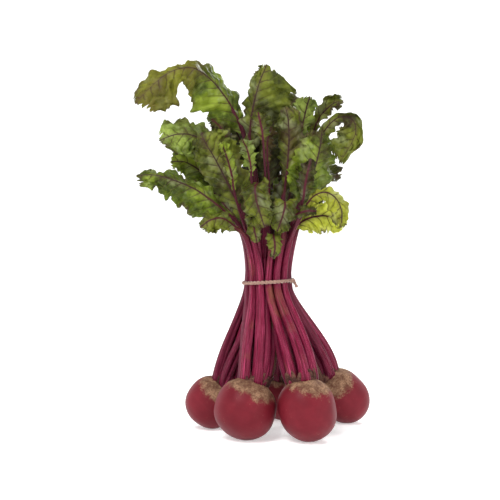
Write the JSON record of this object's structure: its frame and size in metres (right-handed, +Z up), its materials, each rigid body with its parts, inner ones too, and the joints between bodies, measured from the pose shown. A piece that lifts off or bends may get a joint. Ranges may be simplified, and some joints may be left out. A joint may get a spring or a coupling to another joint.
{
  "type": "bunch of beetroot",
  "caption": "Bunch of whole beetroot with magenta stalks and waved green leaves, tied with twine, standing on its roots.",
  "frame": {"origin": "on the ground under the middle of the bunch's box", "axes": "+Z up along the stalks, -Y towards the side that the picture shows, +X to its right"},
  "size_m": [0.2524, 0.1768, 0.3869],
  "materials": {
    "root": "dull satin dark red beet skin with a tan corky crown",
    "stalk": "satin ribbed magenta leaf stalk",
    "leaf": "satin green leaf with dark red midrib and veins",
    "twine": "matte twisted jute twine"
  },
  "bodies": {
    "root": {"leaf_back_high": "leaf", "leaf_back_left_high": "leaf", "leaf_back_left_low": "leaf", "leaf_back_low": "leaf", "leaf_back_right_high": "leaf", "leaf_back_right_low": "leaf", "leaf_broad_right": "leaf", "leaf_front_centre": "leaf", "leaf_front_right": "leaf", "leaf_grey_left": "leaf", "leaf_hanging_centre": "leaf", "leaf_hanging_left": "leaf", "leaf_lit_right": "leaf", "leaf_long_left": "leaf", "leaf_loop_right": "leaf", "leaf_low_left": "leaf", "leaf_low_right": "leaf", "leaf_middle_left": "leaf", "leaf_narrow_right": "leaf", "leaf_oval_left": "leaf", "leaf_pale_right": "leaf", "leaf_top_centre": "leaf", "leaf_top_left": "leaf", "leaf_upright_centre": "leaf", "leaf_upright_right": "leaf", "root_back": "root", "root_front_left": "root", "root_front_right": "root", "root_left": "root", "root_right": "root", "stalk_back_high": "stalk", "stalk_back_left_high": "stalk", "stalk_back_left_low": "stalk", "stalk_back_low": "stalk", "stalk_back_right_high": "stalk", "stalk_back_right_low": "stalk", "stalk_broad_right": "stalk", "stalk_front_centre": "stalk", "stalk_front_right": "stalk", "stalk_grey_left": "stalk", "stalk_hanging_centre": "stalk", "stalk_hanging_left": "stalk", "stalk_lit_right": "stalk", "stalk_long_left": "stalk", "stalk_loop_right": "stalk", "stalk_low_left": "stalk", "stalk_low_right": "stalk", "stalk_middle_left": "stalk", "stalk_narrow_right": "stalk", "stalk_oval_left": "stalk", "stalk_pale_right": "stalk", "stalk_top_centre": "stalk", "stalk_top_left": "stalk", "stalk_upright_centre": "stalk", "stalk_upright_right": "stalk", "twine_tie": "twine"}
  },
  "joints": []
}
